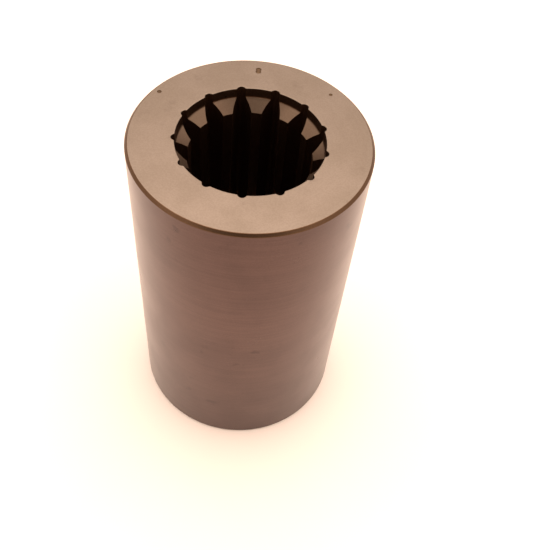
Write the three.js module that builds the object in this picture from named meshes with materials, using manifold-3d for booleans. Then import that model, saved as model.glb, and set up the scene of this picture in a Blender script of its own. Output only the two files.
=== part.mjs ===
// A rigid sleeve coupling: a plain steel cylinder with a 13 tooth involute spline cut through it.
// A splined shaft slides in from each end, and the two shafts meet at a stop ring sprung into a
// groove at the middle of the bore. Millimetres, +Z up along the bore. The origin is the centre of
// the lower end face, and +X runs through the middle of a tooth space.

import * as THREE from 'three';
import { mergeVertices } from 'three/addons/utils/BufferGeometryUtils.js';
import Module from 'manifold-3d';

// ---- Driving dimensions ---------------------------------------------------------------------

// Sleeve
const SLEEVE_DIAMETER = 37;
const SLEEVE_LENGTH = 60;
const OUTER_CHAMFER = 0.4;

// Internal spline: 16/32 diametral pitch, 30 degree pressure angle, fillet root
const TOOTH_COUNT = 13;
const MODULE = 25.4 / 16;
const PRESSURE_ANGLE = THREE.MathUtils.degToRad(30);
const TIP_HEIGHT_IN_MODULES = 0.5; // tooth tips stand this far inside the pitch circle
const ROOT_DEPTH_IN_MODULES = 0.9; // tooth spaces reach this far outside the pitch circle

// Mouth of the bore, the same at both ends
const TOOTH_CUTBACK = 1.725; // the counterbore's wall lies this far outside the tooth tips
const COUNTERBORE_DEPTH = 1.7;
const LEAD_IN_ANGLE = THREE.MathUtils.degToRad(45); // the tooth ends' slope from the end face

// Stop ring and its groove
const GROOVE_DEPTH = 0.65; // past the bottom of the tooth spaces
const RING_THICKNESS = 1.5;
const RING_END_PLAY = 0.125; // between the ring and each side of its groove
const RING_SEAT_CLEARANCE = 0.1; // between the ring and the groove's floor
const RING_RECESS = 0.75; // the ring's bore stays this far outside the tooth tips
const RING_GAP_ANGLE = THREE.MathUtils.degToRad(30); // the opening that lets the ring spring in

// Punched dots on the upper end face: where each is around the bore, how far its centre lies
// inside the sleeve's edge, and its width
const DOTS = [
  { angle: 98.8, inset: 2.55, width: 0.9 },
  { angle: 98.8, inset: 3.1, width: 0.9 },
  { angle: 158.7, inset: 1.4, width: 0.7 },
  { angle: 53.3, inset: 2.2, width: 0.6 },
];
const DOT_DEPTH_TO_WIDTH = 0.3;

// Roundness of the faceted solids
const FACETS_PER_TOOTH = 8;
const FLANK_STEPS = 4;
const FILLET_STEPS = 4;
const RING_ARC_STEPS = 64;
const DOT_FACETS = 16;

// ---- Sizes that follow ------------------------------------------------------------------------

const sleeveRadius = SLEEVE_DIAMETER / 2;
const middleHeight = SLEEVE_LENGTH / 2;
const pitchRadius = (TOOTH_COUNT * MODULE) / 2;
const baseRadius = pitchRadius * Math.cos(PRESSURE_ANGLE);
const tipRadius = pitchRadius - TIP_HEIGHT_IN_MODULES * MODULE;
const rootRadius = pitchRadius + ROOT_DEPTH_IN_MODULES * MODULE;
const counterboreRadius = tipRadius + TOOTH_CUTBACK;
const grooveRadius = rootRadius + GROOVE_DEPTH;
const grooveWidth = RING_THICKNESS + 2 * RING_END_PLAY;
const ringOuterRadius = grooveRadius - RING_SEAT_CLEARANCE;
const ringInnerRadius = tipRadius + RING_RECESS;
const facets = TOOTH_COUNT * FACETS_PER_TOOTH;
const facetAngle = (2 * Math.PI) / facets;
const toothAngle = (2 * Math.PI) / TOOTH_COUNT;
const overrun = OUTER_CHAMFER + 1; // how far each cutting shape runs past the sleeve's ends

// ---- Solids -----------------------------------------------------------------------------------

const manifold = await Module();
manifold.setup();

/** A closed geometry as a solid that can be joined and cut. */
function solidFrom(geometry) {
  const bare = geometry.clone();
  bare.deleteAttribute('normal');
  bare.deleteAttribute('uv');
  const merged = mergeVertices(bare, 1e-4);
  const corners = merged.index.array;
  const triangles = [];
  for (let i = 0; i < corners.length; i += 3) {
    const [a, b, c] = corners.slice(i, i + 3);
    if (a !== b && b !== c && c !== a) triangles.push(a, b, c);
  }
  const mesh = new manifold.Mesh({
    numProp: 3,
    vertProperties: new Float32Array(merged.attributes.position.array),
    triVerts: new Uint32Array(triangles),
  });
  return new manifold.Manifold(mesh);
}

/** A solid as a geometry with flat faces. */
function geometryFrom(solid) {
  const mesh = solid.getMesh();
  const geometry = new THREE.BufferGeometry();
  geometry.setAttribute('position', new THREE.BufferAttribute(mesh.vertProperties, 3));
  geometry.setIndex(new THREE.BufferAttribute(mesh.triVerts, 1));
  geometry.computeVertexNormals();
  return geometry;
}

/** A solid turned about +Z from [radius, height] corners that run up its outside, axis to axis. */
function turned(corners) {
  const profile = corners.map(([radius, height]) => new THREE.Vector2(radius, height));
  return solidFrom(new THREE.LatheGeometry(profile, facets).rotateX(Math.PI / 2));
}

function polar(radius, angle) {
  return new THREE.Vector2(radius * Math.cos(angle), radius * Math.sin(angle));
}

// ---- Spline -----------------------------------------------------------------------------------

// A tooth flank is an involute of the base circle. Its roll is the angle that the unwinding string
// has turned through, so a point at roll t lies at baseRadius * sqrt(1 + t * t).
const rollAtTip = Math.sqrt((tipRadius / baseRadius) ** 2 - 1);
const rollAtRoot = Math.sqrt((rootRadius / baseRadius) ** 2 - 1);
const rollAtPitch = Math.tan(PRESSURE_ANGLE);
const baseHalfAngle = Math.PI / (2 * TOOTH_COUNT) + rollAtPitch - PRESSURE_ANGLE;

/** Half the angle that a tooth space spans at a roll. */
function spaceHalfAngle(roll) {
  return baseHalfAngle - (roll - Math.atan(roll));
}

/** The fillet centred in a tooth space that is tangent to both flanks where they have this roll. */
function filletAt(roll) {
  const turn = roll - baseHalfAngle;
  const centre = baseRadius / Math.cos(turn);
  const radius = baseRadius * (roll - Math.tan(turn));
  return { roll, centre, radius, halfSweep: Math.PI / 2 - turn };
}

/** The one fillet that joins the flanks and just reaches the root circle, found by halving. */
function rootFillet() {
  let low = rollAtTip;
  let high = rollAtRoot;
  while (high - low > 1e-9) {
    const middle = (low + high) / 2;
    const fillet = filletAt(middle);
    if (fillet.centre + fillet.radius < rootRadius) low = middle;
    else high = middle;
  }
  return filletAt(low);
}

/** Outline of one tooth space and the tooth tip after it, anticlockwise, for a space on +X. */
function spaceOutline() {
  const fillet = rootFillet();
  const flank = [];
  for (let step = 0; step <= FLANK_STEPS; step += 1) {
    const roll = rollAtTip + ((fillet.roll - rollAtTip) * step) / FLANK_STEPS;
    flank.push(polar(baseRadius * Math.hypot(1, roll), spaceHalfAngle(roll)));
  }
  const root = [];
  for (let step = 1; step < FILLET_STEPS; step += 1) {
    const angle = fillet.halfSweep * ((2 * step) / FILLET_STEPS - 1);
    root.push(polar(fillet.radius, angle).add(new THREE.Vector2(fillet.centre, 0)));
  }
  const tip = [];
  const tipHalfAngle = toothAngle / 2 - spaceHalfAngle(rollAtTip);
  const tipSteps = Math.floor(tipHalfAngle / facetAngle);
  for (let step = -tipSteps; step <= tipSteps; step += 1) {
    tip.push(polar(tipRadius, toothAngle / 2 + step * facetAngle));
  }
  const lowerFlank = flank.map((point) => new THREE.Vector2(point.x, -point.y));
  return [...lowerFlank, ...root, ...flank.reverse(), ...tip];
}

/** The space inside the toothed bore, from below the sleeve to above it. */
function splineCut() {
  const onePitch = spaceOutline();
  const outline = [];
  for (let tooth = 0; tooth < TOOTH_COUNT; tooth += 1) {
    const around = new THREE.Vector2();
    for (const point of onePitch) {
      outline.push(point.clone().rotateAround(around, tooth * toothAngle));
    }
  }
  const length = SLEEVE_LENGTH + 2 * overrun;
  const bore = new THREE.ExtrudeGeometry(new THREE.Shape(outline), { depth: length, bevelEnabled: false });
  return solidFrom(bore.translate(0, 0, -overrun));
}

// ---- Sleeve -----------------------------------------------------------------------------------

function blank() {
  return turned([
    [0, 0],
    [sleeveRadius - OUTER_CHAMFER, 0],
    [sleeveRadius, OUTER_CHAMFER],
    [sleeveRadius, SLEEVE_LENGTH - OUTER_CHAMFER],
    [sleeveRadius - OUTER_CHAMFER, SLEEVE_LENGTH],
    [0, SLEEVE_LENGTH],
  ]);
}

/** Counterbore at the lower end, with the cone that slopes the tooth ends. */
function mouthCut() {
  return turned([
    [0, -overrun],
    [counterboreRadius, -overrun],
    [counterboreRadius, COUNTERBORE_DEPTH],
    [0, COUNTERBORE_DEPTH + counterboreRadius * Math.tan(LEAD_IN_ANGLE)],
  ]);
}

function grooveCut() {
  return turned([
    [0, middleHeight - grooveWidth / 2],
    [grooveRadius, middleHeight - grooveWidth / 2],
    [grooveRadius, middleHeight + grooveWidth / 2],
    [0, middleHeight + grooveWidth / 2],
  ]);
}

/** A ball that dents the upper end face to the dot's width and depth. */
function dotCut({ angle, inset, width }) {
  const depth = width * DOT_DEPTH_TO_WIDTH;
  const ballRadius = ((width / 2) ** 2 + depth ** 2) / (2 * depth);
  const place = polar(sleeveRadius - inset, THREE.MathUtils.degToRad(angle));
  const ball = new THREE.SphereGeometry(ballRadius, DOT_FACETS, DOT_FACETS / 2);
  return solidFrom(ball.translate(place.x, place.y, SLEEVE_LENGTH - depth + ballRadius));
}

function sleeveGeometry() {
  const lowerMouth = mouthCut();
  const upperMouth = lowerMouth.rotate([180, 0, 0]).translate([0, 0, SLEEVE_LENGTH]);
  let sleeve = blank();
  for (const cut of [splineCut(), lowerMouth, upperMouth, grooveCut(), ...DOTS.map(dotCut)]) {
    sleeve = sleeve.subtract(cut);
  }
  return geometryFrom(sleeve);
}

// ---- Stop ring --------------------------------------------------------------------------------

/** Open ring of rectangular wire, its gap centred on +X, resting height 0 to RING_THICKNESS. */
function ringGeometry() {
  const from = RING_GAP_ANGLE / 2;
  const to = 2 * Math.PI - from;
  const outline = new THREE.Shape();
  outline.absarc(0, 0, ringOuterRadius, from, to, false);
  outline.absarc(0, 0, ringInnerRadius, to, from, true);
  return new THREE.ExtrudeGeometry(outline, {
    depth: RING_THICKNESS,
    bevelEnabled: false,
    curveSegments: RING_ARC_STEPS,
  });
}

// ---- Assembly ---------------------------------------------------------------------------------

const machinedSteel = new THREE.MeshStandardMaterial({ color: 0x9a8474, roughness: 0.42, metalness: 1 });
const springSteel = new THREE.MeshStandardMaterial({ color: 0x4a4744, roughness: 0.35, metalness: 1 });

const sleeve = new THREE.Mesh(sleeveGeometry(), machinedSteel);
sleeve.name = 'sleeve';

const stopRing = new THREE.Mesh(ringGeometry(), springSteel);
stopRing.name = 'centre_stop_ring';
stopRing.position.z = middleHeight - RING_THICKNESS / 2;

const coupling = new THREE.Group();
coupling.add(sleeve, stopRing);

export default coupling;
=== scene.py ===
"""A splined rigid sleeve coupling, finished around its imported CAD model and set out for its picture.

Each part of the coupling is a class that holds its sizes, builds its mesh and dresses it. Sizes inside
the classes are millimetres, and meshes are metres. The bore stands along +Z with a tooth space on +X.
"""

import logging
import math
from dataclasses import dataclass, field
from enum import Enum
from typing import Any

import bmesh
import bpy
import numpy as np
from mathutils import Matrix, Vector


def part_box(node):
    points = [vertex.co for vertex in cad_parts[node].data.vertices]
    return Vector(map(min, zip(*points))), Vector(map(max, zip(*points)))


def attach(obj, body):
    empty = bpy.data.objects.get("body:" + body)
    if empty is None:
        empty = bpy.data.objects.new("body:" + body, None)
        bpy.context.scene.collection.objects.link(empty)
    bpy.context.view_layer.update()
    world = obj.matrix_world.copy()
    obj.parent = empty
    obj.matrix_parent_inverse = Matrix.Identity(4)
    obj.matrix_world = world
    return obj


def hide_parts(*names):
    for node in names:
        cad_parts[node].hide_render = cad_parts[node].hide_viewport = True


MM = 0.001
BODY = "root"
OIL_IOR = 1.47
FACE_RADIUS = 15.0  # half way across the end face, where the rings' marks have their true length
LEAST_SPOT = 0.01  # a spot's least radius as a share of the space between spots, as it is divided by
SMOOTH = {"interpolation_type": "SMOOTHSTEP"}  # has a Map Range node ease in and out

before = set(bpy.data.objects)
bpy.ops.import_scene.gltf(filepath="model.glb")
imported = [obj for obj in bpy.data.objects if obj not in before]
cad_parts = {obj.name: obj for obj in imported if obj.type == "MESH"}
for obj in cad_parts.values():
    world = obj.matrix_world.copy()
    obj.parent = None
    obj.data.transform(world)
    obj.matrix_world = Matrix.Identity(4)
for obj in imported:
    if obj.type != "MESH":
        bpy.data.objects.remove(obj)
log = logging.getLogger("sleeve_coupling")


# ---- Shader help ------------------------------------------------------------------------------


def linear(hex_colour: str) -> tuple[float, float, float, float]:
    """Turns an sRGB colour into the linear one that shaders use.

    Args:
        hex_colour: Six hex digits after a #, such as "#8a7766".

    Returns:
        Linear red, green and blue with an alpha of 1.
    """
    shares = [int(hex_colour[at : at + 2], 16) / 255 for at in (1, 3, 5)]
    red, green, blue = (s / 12.92 if s <= 0.04045 else ((s + 0.055) / 1.055) ** 2.4 for s in shares)
    return red, green, blue, 1.0


def add_node(
    tree: bpy.types.NodeTree, kind: str, inputs: dict | None = None, output: int | str = 0, **settings: Any
) -> bpy.types.NodeSocket | None:
    """Adds one node to a tree, with its settings and links.

    Args:
        tree: The tree that the node goes into.
        kind: The node's type, such as "ShaderNodeMath".
        inputs: Socket names or places, each with a value for it or the output that feeds it.
        output: The name or place of the output that is wanted.
        settings: The node's own properties.

    Returns:
        That output of the new node, or None from a node that has no outputs.
    """
    node = tree.nodes.new(kind)
    for name, value in settings.items():
        setattr(node, name, value)
    for key, value in (inputs or {}).items():
        if isinstance(value, bpy.types.NodeSocket):
            tree.links.new(value, node.inputs[key])
        else:
            node.inputs[key].default_value = value
    return node.outputs[output] if node.outputs else None


@dataclass(frozen=True)
class Fade:
    """The values of a pattern between which it fades in; low may be above high."""

    low: float
    high: float

    def inputs(self, pattern: bpy.types.NodeSocket, most: float = 1.0) -> dict:
        """Inputs that have a Map Range node turn the pattern into 0 at low and most at high."""
        return {"Value": pattern, "From Min": self.low, "From Max": self.high, "To Max": most}


STAIN_FADE = Fade(0.38, 0.66)
STREAK_FADE = Fade(0.3, 0.7)
GRAIN_FADE = Fade(0.35, 0.65)
SMEAR_FADE = Fade(0.6, 0.72)
HANDLED_FADE = Fade(0.52, 0.62)
SPECK_FADE = Fade(1.0, 0.6)  # shares of a speck's width, from its outside in


class Lay(Enum):
    """The way that a tool's marks run over a surface."""

    ROUND_THE_SIDE = "round"
    ROUND_THE_FACE = "rings"
    ALONG_THE_BORE = "along"


@dataclass
class Surface:
    """The places on a piece, in millimetres, from which a metal's patterns are worked out."""

    tree: bpy.types.NodeTree
    place: bpy.types.NodeSocket = field(init=False)

    def __post_init__(self) -> None:
        """Scales the piece's own coordinates from metres to millimetres."""
        metres = add_node(self.tree, "ShaderNodeTexCoord", output="Object")
        scale = {0: metres, "Scale": 1 / MM}
        self.place = add_node(self.tree, "ShaderNodeVectorMath", scale, operation="SCALE")

    def rings(self) -> bpy.types.NodeSocket:
        """Bends the surface so that a pattern drawn on it runs in rings.

        Returns:
            The place as its heading from the bore's axis, with its distance from the axis as Z.
        """
        level = {0: self.place, 1: (1.0, 1.0, 0.0)}
        flat = add_node(self.tree, "ShaderNodeVectorMath", level, operation="MULTIPLY")
        radius = add_node(self.tree, "ShaderNodeVectorMath", {0: flat}, "Value", operation="LENGTH")
        heading = add_node(self.tree, "ShaderNodeVectorMath", {0: flat}, operation="NORMALIZE")
        across, along, _ = add_node(self.tree, "ShaderNodeSeparateXYZ", {0: heading}).node.outputs
        return add_node(self.tree, "ShaderNodeCombineXYZ", {"X": across, "Y": along, "Z": radius})

    def tool_marks(self, lay: Lay, spacing: float, length: float) -> bpy.types.NodeSocket:
        """Noise drawn out along the way that the tool went.

        Args:
            lay: The way that the marks run.
            spacing: Millimetres from one mark to the next.
            length: Millimetres that one mark runs for.

        Returns:
            A number from 0 to 1.
        """
        if lay is Lay.ROUND_THE_FACE:
            place, sizes = self.rings(), (length / FACE_RADIUS, length / FACE_RADIUS, spacing)
        elif lay is Lay.ROUND_THE_SIDE:
            place, sizes = self.place, (length, length, spacing)
        else:
            place, sizes = self.place, (spacing, spacing, length)
        squeeze = {0: place, 1: tuple(1 / size for size in sizes)}
        drawn_out = add_node(self.tree, "ShaderNodeVectorMath", squeeze, operation="MULTIPLY")
        noise = {"Vector": drawn_out, "Scale": 1.0, "Detail": 3.0, "Roughness": 0.6}
        return add_node(self.tree, "ShaderNodeTexNoise", noise)

    def cloud(self, size: float, detail: float = 3.0, shift: float = 0.0) -> bpy.types.NodeSocket:
        """Soft patches over the surface.

        Args:
            size: Millimetres across a patch.
            detail: How many finer layers break up its edge.
            shift: Millimetres that the pattern is moved by, which brings up other patches.

        Returns:
            A number from 0 to 1.
        """
        move = {0: self.place, 1: (shift, shift, shift)}
        moved = add_node(self.tree, "ShaderNodeVectorMath", move, operation="ADD")
        noise = {"Vector": moved, "Scale": 1 / size, "Detail": detail}
        return add_node(self.tree, "ShaderNodeTexNoise", noise)

    def specks(self, size: float, apart: float, share: float, cover: float) -> bpy.types.NodeSocket:
        """Small round spots strewn over the surface.

        Args:
            size: Millimetres across the largest spot.
            apart: Millimetres between the places where a spot may be.
            share: How many of those places have one, from 0 to 1.
            cover: How much of the metal a spot hides, from 0 to 1.

        Returns:
            The cover in a spot and 0 outside, with a soft edge.
        """
        voronoi = {"Vector": self.place, "Scale": 1 / apart}
        cells = add_node(self.tree, "ShaderNodeTexVoronoi", voronoi).node
        drawn = add_node(self.tree, "ShaderNodeSeparateColor", {0: cells.outputs["Color"]}).node
        sized = {0: drawn.outputs[1], 1: size / 2 / apart}
        width = add_node(self.tree, "ShaderNodeMath", sized, operation="MULTIPLY")
        spot = add_node(self.tree, "ShaderNodeMath", {0: width, 1: LEAST_SPOT}, operation="MAXIMUM")
        out = {0: cells.outputs["Distance"], 1: spot}
        way_out = add_node(self.tree, "ShaderNodeMath", out, operation="DIVIDE")
        near = add_node(self.tree, "ShaderNodeMapRange", SPECK_FADE.inputs(way_out, cover), **SMOOTH)
        choice = {0: drawn.outputs[0], 1: share}
        chosen = add_node(self.tree, "ShaderNodeMath", choice, operation="LESS_THAN")
        return add_node(self.tree, "ShaderNodeMath", {0: near, 1: chosen}, operation="MULTIPLY")


# ---- Finishes ---------------------------------------------------------------------------------


@dataclass(frozen=True)
class SteelFinish:
    """Carbon steel, cut by a tool and left with a thin film of oil.

    The tool leaves fine parallel marks that widen the gloss across them, and the oil dries in soft
    brownish patches that dull it. Sizes are millimetres, and a share is of a colour that covers the
    metal, from 0 to 1.
    """

    name: str
    lay: Lay
    bright: str  # bare metal
    stained: str  # under dried oil
    grime_and_painted_shade: str  # in specks and smudges, and in the painted shade below the upper edge
    roughness: float
    mark_spacing: float
    mark_length: float
    mark_depth: float
    grain: float = 0.22  # finest texture of the metal, drawn about twice its real size so that it shows
    grain_depth: float = 0.0012
    grain_share: float = 0.12
    patch: float = 7.0
    stain_share: float = 0.5
    gloss_change: float = 0.12  # in roughness, from the cleanest patch to the most stained
    speck_share: float = 0.12
    speck_size: float = 0.55
    speck_spacing: float = 3.2
    speck_cover: float = 0.8
    speck_dulling: float = 0.25  # in roughness
    smear: float = 2.6
    smear_shift: float = 40.0
    smear_share: float = 0.12
    handled_patch: float = 16.0  # across the stretches where fingers left smears
    handled_shift: float = 75.0
    streak_share: float = 0.04
    oil_share: float = 0.0  # of the clear coat of oil over it
    oil_roughness: float = 0.3
    painted_shade_share: float = 0.0  # of the painted shade, a darkening of the colour below the upper edge
    painted_shade_height: float = 60.0  # where that painted shade is darkest
    painted_shade_run: float = 26.0  # how far down it runs

    def material(self) -> bpy.types.Material:
        """The finish as a Blender material.

        Returns:
            The material.
        """
        steel = bpy.data.materials.new(self.name)
        steel.use_nodes = True
        tree = steel.node_tree
        tree.nodes.clear()
        surface = Surface(tree)
        marks = surface.tool_marks(self.lay, self.mark_spacing, self.mark_length)
        grain = surface.cloud(self.grain, detail=2.0)
        patches = surface.cloud(self.patch, detail=4.0)
        dirt = surface.specks(self.speck_size, self.speck_spacing, self.speck_share, self.speck_cover)
        shader = add_node(
            tree,
            "ShaderNodeBsdfPrincipled",
            {
                "Base Color": self.colour(surface, marks, grain, patches, dirt),
                "Metallic": 1.0,
                "Roughness": self.gloss(tree, patches, dirt),
                "Normal": self.relief(tree, marks, grain),
                "Coat Weight": self.oil_share,
                "Coat Roughness": self.oil_roughness,
                "Coat IOR": OIL_IOR,
            },
        )
        add_node(tree, "ShaderNodeOutputMaterial", {"Surface": shader})
        return steel

    def colour(
        self,
        surface: Surface,
        marks: bpy.types.NodeSocket,
        grain: bpy.types.NodeSocket,
        patches: bpy.types.NodeSocket,
        dirt: bpy.types.NodeSocket,
    ) -> bpy.types.NodeSocket:
        """Lays stains, streaks, grain and dirt over the bare metal's colour, and painted shade below the
        upper edge where the finish asks for it.

        Args:
            surface: The places on the piece.
            marks: The tool's marks.
            grain: The metal's grain.
            patches: Where oil dried.
            dirt: The specks.

        Returns:
            The colour.
        """
        tree = surface.tree
        layers = [
            (patches, STAIN_FADE, self.stain_share, self.stained),
            (marks, STREAK_FADE, self.streak_share, self.grime_and_painted_shade),
            (grain, GRAIN_FADE, self.grain_share, self.grime_and_painted_shade),
        ]
        # painted shade: the colour is darkened towards the upper edge, in the same dark colour as the specks
        if self.painted_shade_share:
            height = add_node(tree, "ShaderNodeSeparateXYZ", {0: surface.place}, "Z")
            painted_shade_fade = Fade(self.painted_shade_height - self.painted_shade_run, self.painted_shade_height)
            layers.append((height, painted_shade_fade, self.painted_shade_share, self.grime_and_painted_shade))
        covers = []
        for pattern, fade, most, tone in layers:
            cover = add_node(tree, "ShaderNodeMapRange", fade.inputs(pattern, most), **SMOOTH)
            covers.append((cover, tone))
        soil = {0: dirt, 1: self.smears(surface)}
        covers.append((add_node(tree, "ShaderNodeMath", soil, operation="MAXIMUM"), self.grime_and_painted_shade))
        colour = linear(self.bright)
        for cover, tone in covers:
            mix = {0: cover, 6: colour, 7: linear(tone)}
            colour = add_node(tree, "ShaderNodeMix", mix, 2, data_type="RGBA")
        return colour

    def smears(self, surface: Surface) -> bpy.types.NodeSocket:
        """Smudges left by oily fingers, on some stretches of the metal only.

        Args:
            surface: The places on the piece.

        Returns:
            A number from 0 to the smear share.
        """
        tree = surface.tree
        stretches = surface.cloud(self.handled_patch, detail=1.0, shift=self.handled_shift)
        smudges = surface.cloud(self.smear, detail=5.0, shift=self.smear_shift)
        handled = add_node(tree, "ShaderNodeMapRange", HANDLED_FADE.inputs(stretches), **SMOOTH)
        smudged = add_node(
            tree, "ShaderNodeMapRange", SMEAR_FADE.inputs(smudges, self.smear_share), **SMOOTH
        )
        return add_node(tree, "ShaderNodeMath", {0: smudged, 1: handled}, operation="MULTIPLY")

    def gloss(
        self, tree: bpy.types.NodeTree, patches: bpy.types.NodeSocket, dirt: bpy.types.NodeSocket
    ) -> bpy.types.NodeSocket:
        """Roughness that wanders with the patches of oil and rises in the specks.

        Args:
            tree: The material's tree.
            patches: Where oil dried.
            dirt: The specks.

        Returns:
            The roughness.
        """
        wander = {0: patches, 1: self.gloss_change, 2: self.roughness - self.gloss_change / 2}
        uneven = add_node(tree, "ShaderNodeMath", wander, operation="MULTIPLY_ADD")
        dulled = {0: dirt, 1: self.speck_dulling, 2: uneven}
        return add_node(tree, "ShaderNodeMath", dulled, operation="MULTIPLY_ADD")

    def relief(
        self, tree: bpy.types.NodeTree, marks: bpy.types.NodeSocket, grain: bpy.types.NodeSocket
    ) -> bpy.types.NodeSocket:
        """Dents the surface with the tool's marks and the grain.

        Args:
            tree: The material's tree.
            marks: The tool's marks.
            grain: The metal's grain.

        Returns:
            The bent normal.
        """
        fine = add_node(tree, "ShaderNodeMath", {0: grain, 1: self.grain_depth}, operation="MULTIPLY")
        deep = {0: marks, 1: self.mark_depth, 2: fine}
        dents = add_node(tree, "ShaderNodeMath", deep, operation="MULTIPLY_ADD")
        return add_node(tree, "ShaderNodeBump", {"Height": dents, "Distance": MM, "Strength": 1.0})


# Faced in the lathe: a pale satin face with faint rings.
FACED_STEEL = SteelFinish(
    name="faced_carbon_steel",
    lay=Lay.ROUND_THE_FACE,
    bright="#80766a",
    stained="#756b5e",
    grime_and_painted_shade="#40322b",
    roughness=0.374,
    mark_spacing=0.3,
    mark_length=9.0,
    mark_depth=0.0025,
    speck_share=0.02,
)

# Turned bar: a darker side with fine lines round it, which draw the gloss out along the sleeve, and painted
# shade below its upper edge.
TURNED_STEEL = SteelFinish(
    name="turned_carbon_steel",
    lay=Lay.ROUND_THE_SIDE,
    bright="#5f4943",
    stained="#533f3a",
    grime_and_painted_shade="#2a1916",
    roughness=0.299,
    oil_share=0.25,
    oil_roughness=0.28,
    mark_spacing=0.35,
    mark_length=14.0,
    mark_depth=0.005,
    speck_share=0.2,
    smear_share=0.4,
    streak_share=0.16,
    painted_shade_share=0.22,
)

# The edge that the chamfering tool left: browned by dried oil, with rings round it.
CHAMFERED_STEEL = SteelFinish(
    name="oil_browned_carbon_steel",
    lay=Lay.ROUND_THE_FACE,
    bright="#5e4937",
    stained="#513e2e",
    grime_and_painted_shade="#271b13",
    roughness=0.34,
    mark_spacing=0.15,
    mark_length=10.0,
    mark_depth=0.002,
    speck_share=0.0,
)

# Tooth ends, cut by the lead-in tool: as pale as the face but browner, from the oil that drains there.
LEAD_IN_STEEL = SteelFinish(
    name="lead_in_cut_carbon_steel",
    lay=Lay.ROUND_THE_FACE,
    bright="#746454",
    stained="#675547",
    grime_and_painted_shade="#34281e",
    roughness=0.4,
    mark_spacing=0.2,
    mark_length=8.0,
    mark_depth=0.003,
    speck_share=0.02,
)

# Punched dots: the pits are coloured dark and almost dull.
PITTED_STEEL = SteelFinish(
    name="dark_pit_carbon_steel",
    lay=Lay.ROUND_THE_FACE,
    bright="#6c5b48",
    stained="#584839",
    grime_and_painted_shade="#2b2017",
    roughness=0.6,
    mark_spacing=0.2,
    mark_length=1.0,
    mark_depth=0.002,
    speck_share=0.0,
)

# Broached teeth: dark with cutting oil, scored along the bore.
BROACHED_STEEL = SteelFinish(
    name="broached_carbon_steel",
    lay=Lay.ALONG_THE_BORE,
    bright="#755842",
    stained="#664b38",
    grime_and_painted_shade="#241910",
    roughness=0.36,
    mark_spacing=0.18,
    mark_length=12.0,
    mark_depth=0.004,
)

# Spring steel, hardened and blackened in oil: nearly black, with a soft gloss.
SPRING_STEEL = SteelFinish(
    name="blackened_spring_steel",
    lay=Lay.ROUND_THE_FACE,
    bright="#3d3936",
    stained="#2f2b29",
    grime_and_painted_shade="#15110f",
    roughness=0.34,
    mark_spacing=0.25,
    mark_length=6.0,
    mark_depth=0.002,
    speck_share=0.0,
)


@dataclass(frozen=True)
class PaperFinish:
    """Uncoated white card: matt, with a faint unevenness in its tone."""

    name: str = "white_card"
    tone: str = "#fbf6ee"
    shaded: str = "#f6efe4"
    patch: float = 60.0
    roughness: float = 0.9
    gloss: float = 0.1  # the share of a smooth sheet's gloss that the fibres leave

    def material(self) -> bpy.types.Material:
        """The finish as a Blender material.

        Returns:
            The material.
        """
        card = bpy.data.materials.new(self.name)
        card.use_nodes = True
        tree = card.node_tree
        tree.nodes.clear()
        mix = {0: Surface(tree).cloud(self.patch), 6: linear(self.tone), 7: linear(self.shaded)}
        tone = add_node(tree, "ShaderNodeMix", mix, 2, data_type="RGBA")
        matt = {"Base Color": tone, "Roughness": self.roughness, "Specular IOR Level": self.gloss}
        shader = add_node(tree, "ShaderNodeBsdfPrincipled", matt)
        add_node(tree, "ShaderNodeOutputMaterial", {"Surface": shader})
        return card


# ---- Mesh help --------------------------------------------------------------------------------


def mesh_piece(
    name: str, points: np.ndarray, faces: list, finishes: list[bpy.types.Material]
) -> bpy.types.Object:
    """Makes an object from millimetre points.

    Args:
        name: The piece's name.
        points: One row of x, y and z for each corner, in millimetres.
        faces: The corners of each face, anticlockwise from outside.
        finishes: The piece's materials, in slot order.

    Returns:
        The object, linked into the scene.
    """
    mesh = bpy.data.meshes.new(name)
    mesh.from_pydata((points * MM).tolist(), [], faces)
    for finish in finishes:
        mesh.materials.append(finish)
    piece = bpy.data.objects.new(name, mesh)
    bpy.context.scene.collection.objects.link(piece)
    return piece


def shade(piece: bpy.types.Object, crease: float = 32.0) -> None:
    """Shades a piece smooth, apart from edges that turn by more than the crease in degrees."""
    piece.data.shade_smooth()
    piece.data.set_sharp_from_angle(angle=math.radians(crease))


def weld(piece: bpy.types.Object, gap: float = 0.0005) -> None:
    """Joins corners that a cut has left all but touching, which would leave faces with no area.

    Args:
        piece: The piece to mend.
        gap: Millimetres apart below which two corners are one.
    """
    joined = bmesh.new()
    joined.from_mesh(piece.data)
    bmesh.ops.remove_doubles(joined, verts=joined.verts, dist=gap * MM)
    joined.to_mesh(piece.data)
    joined.free()


def rounded(corners: list[tuple[float, float, float]], steps: int = 4) -> list[tuple[float, float]]:
    """Rounds the corners of an open outline.

    Args:
        corners: (radius from the axis, depth, corner radius) for each corner. The ends stay as they are.
        steps: Faces along each rounded corner.

    Returns:
        (radius from the axis, depth) for each point of the rounded outline.
    """
    outline = [corners[0][:2]]
    for before, here, after in zip(corners, corners[1:], corners[2:]):
        corner = np.array(here[:2])
        back = np.array(before[:2]) - corner
        on = np.array(after[:2]) - corner
        back, on = back / np.linalg.norm(back), on / np.linalg.norm(on)
        half_turn = math.acos(np.clip(back @ on, -1, 1)) / 2
        reach = here[2] / math.tan(half_turn)
        centre = corner + (back + on) / np.linalg.norm(back + on) * here[2] / math.sin(half_turn)
        first, last = corner + back * reach - centre, corner + on * reach - centre
        sweep = math.pi - 2 * half_turn
        for step in range(steps + 1):
            share = step / steps
            spoke = (math.sin((1 - share) * sweep) * first + math.sin(share * sweep) * last) / math.sin(sweep)
            outline.append(tuple(centre + spoke))
    return [*outline, corners[-1][:2]]


# ---- Spline -----------------------------------------------------------------------------------


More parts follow.
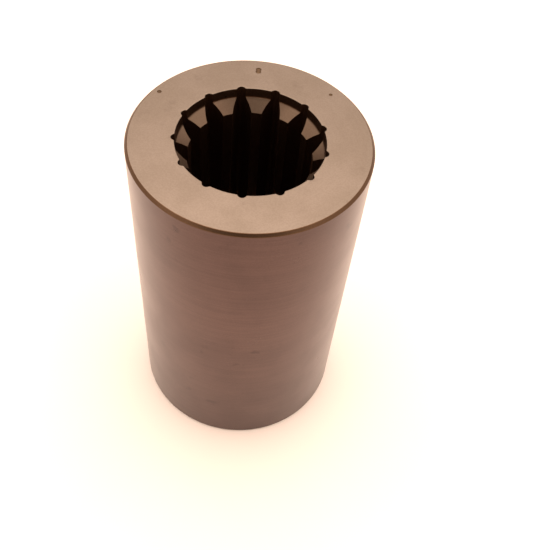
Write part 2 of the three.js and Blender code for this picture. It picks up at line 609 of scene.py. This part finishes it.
@dataclass(frozen=True)
class Spline:
    """Internal involute spline, 16/32 diametral pitch, with one fillet across the root of each space."""

    teeth: int = 13
    module: float = 25.4 / 16
    pressure_angle: float = math.radians(30)
    tip_height: float = 0.5  # modules inside the pitch circle
    root_depth: float = 0.9  # modules outside it
    root_columns: int = 6
    flank_columns: int = 10
    tip_columns: int = 6
    roll_step: float = 1e-9  # close enough for a roll that is found by halving

    @property
    def pitch_radius(self) -> float:
        """Radius of the pitch circle."""
        return self.teeth * self.module / 2

    @property
    def base_radius(self) -> float:
        """Radius of the circle that the flanks unroll from."""
        return self.pitch_radius * math.cos(self.pressure_angle)

    @property
    def tip_radius(self) -> float:
        """Radius of the tooth tips, the narrowest part of the bore."""
        return self.pitch_radius - self.tip_height * self.module

    @property
    def root_radius(self) -> float:
        """Radius of the bottom of the tooth spaces."""
        return self.pitch_radius + self.root_depth * self.module

    @property
    def columns(self) -> int:
        """Corners once round the bore."""
        return 2 * self.teeth * (self.root_columns + self.flank_columns + self.tip_columns)

    def on_tooth(self, column: int) -> bool:
        """Whether the strip that starts at this column is on the end of a tooth."""
        first = self.root_columns + self.flank_columns
        return first <= column % (2 * (first + self.tip_columns)) < first + 2 * self.tip_columns

    def roll_at(self, radius: float) -> float:
        """The involute's roll where a flank has this radius."""
        return math.sqrt(max((radius / self.base_radius) ** 2 - 1, 0.0))

    def flank_point(self, roll: float) -> tuple[float, float]:
        """(radius, angle from the middle of the tooth space) of a flank at a roll."""
        base_half_angle = math.pi / 2 / self.teeth + math.tan(self.pressure_angle) - self.pressure_angle
        return self.base_radius * math.hypot(1, roll), base_half_angle - (roll - math.atan(roll))

    def fillet(self, roll: float) -> tuple[float, float, float]:
        """(centre's radius, fillet radius, half sweep) of the fillet that leaves both flanks at a roll."""
        turn = roll - self.flank_point(0.0)[1]
        radius = self.base_radius * (roll - math.tan(turn))
        return self.base_radius / math.cos(turn), radius, math.pi / 2 - turn

    def fillet_roll(self) -> float:
        """Finds the fillet that just reaches the root circle, by halving.

        Returns:
            The roll where that fillet starts.
        """
        low, high = self.roll_at(self.tip_radius), self.roll_at(self.root_radius)
        while high - low > self.roll_step:
            middle = (low + high) / 2
            centre, radius, _ = self.fillet(middle)
            low, high = (middle, high) if centre + radius < self.root_radius else (low, middle)
        return low

    def section(self, clear_radius: float) -> np.ndarray:
        """The bore's outline with all the metal inside a circle cut away.

        Args:
            clear_radius: Radius of the circle, at least the tooth tips' own.

        Returns:
            (radius, angle) for each column, once round from the middle of the space on +X.
        """
        start = self.fillet_roll()
        stop = self.roll_at(clear_radius)
        centre, radius, half_sweep = self.fillet(start)
        half = []
        for step in range(self.root_columns):
            swept = half_sweep * step / self.root_columns
            across, up = centre + radius * math.cos(swept), radius * math.sin(swept)
            half.append((math.hypot(across, up), math.atan2(up, across)))
        for step in range(self.flank_columns):
            half.append(self.flank_point(start + (stop - start) * step / self.flank_columns))
        corner = self.flank_point(stop)[1]
        pitch_angle = 2 * math.pi / self.teeth
        for step in range(self.tip_columns + 1):
            half.append((clear_radius, corner + (pitch_angle / 2 - corner) * step / self.tip_columns))
        mirrored = [(r, pitch_angle - a) for r, a in reversed(half[1:-1])]
        one_pitch = np.array(half + mirrored)
        return np.vstack([one_pitch + (0.0, tooth * pitch_angle) for tooth in range(self.teeth)])


# ---- Sleeve -----------------------------------------------------------------------------------


class Band(Enum):
    """The stretches of the sleeve's skin, each with its own finish; the value is its material slot."""

    SIDE = 0
    FACE = 1
    BORE = 2
    EDGE = 3
    TOOTH_END = 4


@dataclass(frozen=True)
class Dot:
    """A punched dot in the upper end face."""

    angle: float  # degrees from +X
    inset: float  # from the sleeve's edge to the dot's middle
    width: float
    depth: float


@dataclass
class Sleeve:
    """The sleeve: one turned steel piece with the splined bore, its two mouths and the ring's groove."""

    outer_radius: float
    length: float
    spline: Spline = field(default_factory=Spline)
    chamfer: float = 0.4
    chamfer_corner: float = 0.16
    counterbore_step: float = 1.725
    counterbore_depth: float = 1.7
    mouth_break: float = 0.1  # the rounding that takes the burr off the mouth's edge
    nose_radius: float = 0.7  # left by the tool where the counterbore meets the tooth ends
    mouth_steps: int = 8  # rows round each of those two curves
    groove_depth: float = 0.65
    groove_width: float = 1.75
    groove_corner: float = 0.12
    edge_guard: float = 0.05  # width of the narrow band beside each rounded edge that keeps flats flat
    lead_in_rows: int = 10
    ball_segments: int = 48  # of the ball that presses a dot
    ball_rings: int = 32
    dots: tuple[Dot, ...] = (
        Dot(98.8, 2.55, 0.9, 0.27),
        Dot(98.8, 3.1, 0.9, 0.27),
        Dot(158.7, 1.4, 0.7, 0.21),
        Dot(53.3, 2.2, 0.6, 0.18),
    )

    @classmethod
    def from_frame(cls) -> "Sleeve":
        """A sleeve as wide and as long as the CAD one."""
        low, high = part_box("sleeve")
        return cls(outer_radius=high.x / MM, length=(high.z - low.z) / MM)

    @property
    def counterbore_radius(self) -> float:
        """Radius of the counterbore's wall."""
        return self.spline.tip_radius + self.counterbore_step

    def circle_row(self, radius: float, height: float) -> np.ndarray:
        """One row of evenly spaced corners round the outside."""
        angles = np.arange(self.spline.columns) * 2 * math.pi / self.spline.columns
        return self.place(np.column_stack([np.full_like(angles, radius), angles]), height)

    def bore_row(self, radius: float, height: float) -> np.ndarray:
        """One row of corners round the bore.

        Args:
            radius: Radius that the bore is open to here. Past the counterbore, the whole row widens.
            height: Millimetres above the floor.

        Returns:
            x, y and z of each corner.
        """
        section = self.spline.section(min(max(radius, self.spline.tip_radius), self.counterbore_radius))
        section[:, 0] += max(radius - self.counterbore_radius, 0.0)
        return self.place(section, height)

    @staticmethod
    def place(polar: np.ndarray, height: float) -> np.ndarray:
        """(radius, angle) rows as x, y and z at one height."""
        radius, angle = polar.T
        return np.column_stack([radius * np.cos(angle), radius * np.sin(angle), np.full_like(radius, height)])

    def end_rows(self, top: bool) -> list[tuple[Band, np.ndarray]]:
        """The rows of one end, from the side over the end face and down to the full teeth.

        Args:
            top: True for the upper end.

        Returns:
            The band that each row begins, with the row.
        """

        def height(depth: float) -> float:
            """Height above the floor of a place this deep below the end face."""
            return self.length - depth if top else depth

        radius, chamfer = self.outer_radius, self.chamfer
        face_edge = radius - chamfer
        # the first and last corners only say which way the outline comes and goes
        edge = rounded(
            [
                (radius, 4 * chamfer, 0.0),
                (radius, chamfer, self.chamfer_corner),
                (face_edge, 0.0, self.chamfer_corner),
                (face_edge - 2 * chamfer, 0.0, 0.0),
            ]
        )
        side, face = edge[1:-1], edge[-2][0] - self.edge_guard
        rows = [(Band.SIDE, self.circle_row(radius, height(side[0][1] + self.edge_guard)))]
        rows += [(Band.EDGE, self.circle_row(r, height(d))) for r, d in side[:-1]]
        rows.append((Band.FACE, self.circle_row(side[-1][0], height(0.0))))
        rows.append((Band.FACE, self.circle_row(face, height(0.0))))

        mouth, tip = self.counterbore_radius, self.spline.tip_radius
        tip_depth = self.counterbore_depth + mouth - tip
        bore = rounded(
            [
                (mouth + 1.0, 0.0, 0.0),
                (mouth, 0.0, self.mouth_break),
                (mouth, self.counterbore_depth, self.nose_radius),
                (tip, tip_depth, 0.0),
            ],
            self.mouth_steps,
        )[1:-1]
        rows.append((Band.FACE, self.bore_row(bore[0][0] + self.edge_guard, height(0.0))))
        wall, nose_middle = self.mouth_steps, self.mouth_steps + 1 + self.mouth_steps // 2
        for at, (r, d) in enumerate(bore):
            band = Band.FACE if at < wall else Band.BORE if at < nose_middle else Band.TOOTH_END
            rows.append((band, self.bore_row(r, height(d))))
        start = bore[-1]
        for step in range(1, self.lead_in_rows + 1):
            share = step / self.lead_in_rows
            open_to = start[0] + (tip - start[0]) * share
            band = Band.TOOTH_END if step < self.lead_in_rows else Band.BORE
            rows.append((band, self.bore_row(open_to, height(start[1] + start[0] - open_to))))
        return rows

    def groove_rows(self) -> list[tuple[Band, np.ndarray]]:
        """The rows of the ring's groove, from its upper edge to its lower one.

        Returns:
            The band that each row begins, with the row.
        """
        middle, half = self.length / 2, self.groove_width / 2
        tip, floor = self.spline.tip_radius, self.spline.root_radius + self.groove_depth
        section = self.spline.section(tip)
        outline = rounded(
            [
                (tip, middle + half, 0.0),
                (floor, middle + half, self.groove_corner),
                (floor, middle - half, self.groove_corner),
                (tip, middle - half, 0.0),
            ]
        )
        rows = [(Band.BORE, self.bore_row(tip, middle + half))]
        for radius, height in outline[1:-1]:
            ring = np.column_stack([np.full(len(section), radius), section[:, 1]])
            rows.append((Band.BORE, self.place(ring, height)))
        return [*rows, (Band.BORE, self.bore_row(tip, middle - half))]

    def build(self) -> bpy.types.Object:
        """Builds the sleeve's mesh.

        Returns:
            The sleeve, dressed in its finishes.
        """
        lower = self.end_rows(top=False)
        upper = self.end_rows(top=True)
        # the lower end is walked backwards, so each of its rows begins the band of the row after it
        lower_bands = [band for band, _ in reversed(lower[:-1])] + [Band.SIDE]
        lower_rows = list(zip(lower_bands, (row for _, row in reversed(lower))))
        walk = upper + self.groove_rows() + lower_rows
        columns = self.spline.columns
        points = np.vstack([row for _, row in walk])
        faces, slots = [], []
        for at, (band, _) in enumerate(walk):
            here, after = at * columns, (at + 1) % len(walk) * columns
            for column in range(columns):
                beside = (column + 1) % columns
                faces.append((here + column, here + beside, after + beside, after + column))
                broached = band is Band.TOOTH_END and not self.spline.on_tooth(column)
                slots.append((Band.BORE if broached else band).value)
        skins = [TURNED_STEEL, FACED_STEEL, BROACHED_STEEL, CHAMFERED_STEEL, LEAD_IN_STEEL]
        finishes = [skin.material() for skin in skins]
        piece = mesh_piece("splined_sleeve", points, faces, finishes)
        piece.data.polygons.foreach_set("material_index", slots)
        self.punch(piece)
        weld(piece)
        shade(piece)
        return piece

    def punch(self, piece: bpy.types.Object) -> None:
        """Dents the upper end face with the punched dots.

        Args:
            piece: The sleeve.
        """
        pitted = PITTED_STEEL.material()
        for dot in self.dots:
            ball_radius = ((dot.width / 2) ** 2 + dot.depth**2) / (2 * dot.depth)
            reach, angle = self.outer_radius - dot.inset, math.radians(dot.angle)
            height = self.length - dot.depth + ball_radius
            centre = Vector((reach * math.cos(angle), reach * math.sin(angle), height))
            bpy.ops.mesh.primitive_uv_sphere_add(
                segments=self.ball_segments,
                ring_count=self.ball_rings,
                radius=ball_radius * MM,
                location=centre * MM,
            )
            punch = bpy.context.object
            punch.data.materials.append(pitted)
            cut = piece.modifiers.new("dot", "BOOLEAN")
            cut.material_mode = "TRANSFER"
            cut.operation, cut.solver, cut.object = "DIFFERENCE", "EXACT", punch
            bpy.context.view_layer.objects.active = piece
            bpy.ops.object.modifier_apply(modifier=cut.name)
            bpy.data.objects.remove(punch)

    def dress(self) -> bpy.types.Object:
        """Builds the sleeve and puts it in the frame in place of the CAD one.

        Returns:
            The sleeve.
        """
        piece = self.build()
        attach(piece, BODY)
        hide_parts("sleeve")
        return piece


# ---- Stop ring --------------------------------------------------------------------------------


@dataclass
class StopRing:
    """The open ring of flat spring wire that the two shafts stop against, its gap centred on +X."""

    outer_radius: float
    inner_radius: float
    low: float
    high: float
    gap: float = 30.0  # degrees
    corner: float = 0.22  # the wire's rolled corners
    steps: int = 220
    corner_steps: int = 5
    end_round: float = 0.15

    @classmethod
    def from_frame(cls, spline: Spline, recess: float = 0.75) -> "StopRing":
        """A ring as large as the CAD one, its bore the recess outside the tooth tips."""
        low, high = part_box("centre_stop_ring")
        return cls(high.y / MM, spline.tip_radius + recess, low.z / MM, high.z / MM)

    def wire_section(self, shrink: float) -> np.ndarray:
        """The wire's outline, drawn in by a distance all round.

        Args:
            shrink: That distance in millimetres.

        Returns:
            (radius, height) for each corner, anticlockwise.
        """
        corner = self.corner - shrink
        inner, outer = self.inner_radius + self.corner, self.outer_radius - self.corner
        low, high = self.low + self.corner, self.high - self.corner
        outline = []
        centres = [(outer, low), (outer, high), (inner, high), (inner, low)]
        for quarter, (radius, height) in enumerate(centres):
            for step in range(self.corner_steps + 1):
                angle = math.radians(90 * (quarter - 1 + step / self.corner_steps))
                outline.append((radius + corner * math.cos(angle), height + corner * math.sin(angle)))
        return np.array(outline)

    def build(self) -> bpy.types.Object:
        """Sweeps the wire round and rounds off its two sheared ends.

        Returns:
            The ring, dressed in its finish.
        """
        first = math.radians(self.gap / 2)
        last = 2 * math.pi - first
        ease = self.end_round / self.outer_radius
        # each end is rounded by drawing the wire in, most at the end itself and a third of that next to it
        stations = [(first, self.end_round), (first + ease / 3, self.end_round / 3), (first + ease, 0.0)]
        for step in range(1, self.steps):
            stations.append((first + ease + (last - first - 2 * ease) * step / self.steps, 0.0))
        stations += [(last - ease, 0.0), (last - ease / 3, self.end_round / 3), (last, self.end_round)]
        sections = []
        for angle, shrink in stations:
            radius, height = self.wire_section(shrink).T
            sections.append(np.column_stack([radius * math.cos(angle), radius * math.sin(angle), height]))
        count = len(sections[0])
        final = (len(sections) - 1) * count
        faces = [tuple(range(count)), tuple(reversed(range(final, final + count)))]
        for at in range(len(sections) - 1):
            for corner in range(count):
                beside = (corner + 1) % count
                here, after = at * count, (at + 1) * count
                faces.append((here + corner, after + corner, after + beside, here + beside))
        piece = mesh_piece("sprung_stop_ring", np.vstack(sections), faces, [SPRING_STEEL.material()])
        shade(piece)
        return piece

    def dress(self) -> bpy.types.Object:
        """Builds the ring and puts it in the frame in place of the CAD one.

        Returns:
            The ring.
        """
        piece = self.build()
        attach(piece, BODY)
        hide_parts("centre_stop_ring")
        return piece


# ---- Studio -----------------------------------------------------------------------------------


@dataclass
class Viewpoint:
    """Where the picture is taken from: above and in front of the sleeve, held a little askew."""

    azimuth: float = 10.89  # degrees round from the -Y side
    reach: float = 83.47  # from the bore's axis, along the floor
    height: float = 138.9  # above the floor
    turn: float = 3.066  # degrees that the aim passes to the right of the axis
    tilt: float = 53.31  # degrees below the horizon
    roll: float = -5.824
    lens: float = 50.26
    sensor: float = 36.0
    nearest: float = 5.0  # that the camera sees
    farthest: float = 50000.0

    def build(self) -> bpy.types.Object:
        """Makes the scene's camera.

        Returns:
            The camera.
        """
        turn, tilt, roll = (math.radians(a) for a in (self.turn, self.tilt, self.roll))
        aim = Vector((math.sin(turn) * math.cos(tilt), math.cos(turn) * math.cos(tilt), -math.sin(tilt)))
        level = Vector((math.cos(turn), -math.sin(turn), 0))
        down = aim.cross(level)
        right = level * math.cos(roll) + down * math.sin(roll)
        up = level * math.sin(roll) - down * math.cos(roll)
        stand = Matrix((right, up, -aim)).transposed().to_4x4()
        stand.translation = Vector((0, -self.reach, self.height)) * MM
        data = bpy.data.cameras.new("viewpoint")
        data.sensor_fit, data.sensor_width, data.lens = "AUTO", self.sensor, self.lens
        data.clip_start, data.clip_end = self.nearest * MM, self.farthest * MM
        camera = bpy.data.objects.new("viewpoint", data)
        camera.matrix_world = Matrix.Rotation(math.radians(self.azimuth), 4, "Z") @ stand
        bpy.context.scene.collection.objects.link(camera)
        bpy.context.scene.camera = camera
        return camera


@dataclass
class Studio:
    """A white card floor in soft warm light from all round, with a wide lamp above and behind."""

    azimuth: float  # degrees, the side that the picture is taken from
    floor_width: float = 6000.0
    light: str = "#ffe6d8"
    near_reach: float = -0.7  # share of the way behind, below which the light is the near one
    far_reach: float = 0.3  # above which it is the far one
    near_strength: float = 1.86
    far_strength: float = 1.48
    dim_share: float = 0.8  # how much of the light is missing where the onlooker stands
    dim_height: float = 45.0  # degrees above the horizon
    dim_inner: float = 14.0  # degrees from its middle, all of it dim
    dim_outer: float = 46.0
    lamp_width: float = 2000.0
    lamp_reach: float = 262.0  # behind the sleeve
    lamp_height: float = 1500.0
    lamp_power: float = 24.3

    @property
    def behind(self) -> Vector:
        """The level direction from the sleeve to the far side."""
        away = math.radians(self.azimuth)
        return Vector((-math.sin(away), math.cos(away), 0.0))

    def build_floor(self) -> bpy.types.Object:
        """Lays the card that the sleeve stands on.

        Returns:
            The card.
        """
        half = self.floor_width / 2
        corners = np.array([(-half, -half, 0.0), (half, -half, 0.0), (half, half, 0.0), (-half, half, 0.0)])
        floor = mesh_piece("card_floor", corners, [(0, 1, 2, 3)], [PaperFinish().material()])
        return floor

    def build_surround(self) -> bpy.types.World:
        """Surrounds the scene with soft light that is weaker where the onlooker stands.

        Returns:
            The world.
        """
        world = bpy.data.worlds.new("soft_surround")
        world.use_nodes = True
        tree = world.node_tree
        tree.nodes.clear()
        direction = add_node(tree, "ShaderNodeTexCoord", output="Generated")
        backward = {0: direction, 1: tuple(self.behind)}
        share = add_node(tree, "ShaderNodeVectorMath", backward, "Value", operation="DOT_PRODUCT")
        near_to_far = {
            "Value": share,
            "From Min": self.near_reach,
            "From Max": self.far_reach,
            "To Min": self.near_strength,
            "To Max": self.far_strength,
        }
        strength = add_node(tree, "ShaderNodeMapRange", near_to_far, **SMOOTH)
        rise = math.radians(self.dim_height)
        onlooker = Vector((0, 0, math.sin(rise))) - self.behind * math.cos(rise)
        forward = {0: direction, 1: tuple(onlooker)}
        toward = add_node(tree, "ShaderNodeVectorMath", forward, "Value", operation="DOT_PRODUCT")
        open_to_dim = {
            "Value": toward,
            "From Min": math.cos(math.radians(self.dim_outer)),
            "From Max": math.cos(math.radians(self.dim_inner)),
            "To Min": 1.0,
            "To Max": 1 - self.dim_share,
        }
        left = add_node(tree, "ShaderNodeMapRange", open_to_dim, **SMOOTH)
        dimmed = add_node(tree, "ShaderNodeMath", {0: strength, 1: left}, operation="MULTIPLY")
        light = add_node(
            tree, "ShaderNodeBackground", {"Color": linear(self.light), "Strength": dimmed}
        )
        add_node(tree, "ShaderNodeOutputWorld", {"Surface": light})
        bpy.context.scene.world = world
        return world

    def build_lamp(self) -> bpy.types.Object:
        """Hangs a wide soft lamp above and behind the sleeve.

        Returns:
            The lamp.
        """
        data = bpy.data.lights.new("soft_overhead", "AREA")
        data.shape, data.size, data.energy = "DISK", self.lamp_width * MM, self.lamp_power
        data.color = linear(self.light)[:3]
        lamp = bpy.data.objects.new("soft_overhead", data)
        lamp.location = (self.behind * self.lamp_reach + Vector((0, 0, self.lamp_height))) * MM
        lamp.rotation_euler = lamp.location.to_track_quat("Z", "Y").to_euler()
        bpy.context.scene.collection.objects.link(lamp)
        return lamp

    def build(self) -> None:
        """Builds the floor and the lights, with colours shown as they are."""
        self.build_floor()
        self.build_surround()
        self.build_lamp()
        bpy.context.scene.view_settings.view_transform = "Standard"
        bpy.context.scene.view_settings.look = "None"


# ---- Making it all ----------------------------------------------------------------------------


def main() -> None:
    """Builds the coupling and its setting in order."""
    logging.basicConfig(level=logging.INFO, format="%(name)s: %(message)s")
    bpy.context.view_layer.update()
    viewpoint = Viewpoint()
    viewpoint.build()
    Studio(azimuth=viewpoint.azimuth).build()
    sleeve = Sleeve.from_frame()
    ring = StopRing.from_frame(sleeve.spline)
    for piece in (sleeve.dress(), ring.dress()):
        log.info("%s: %d faces", piece.name, len(piece.data.polygons))


if __name__ == "__main__":
    main()
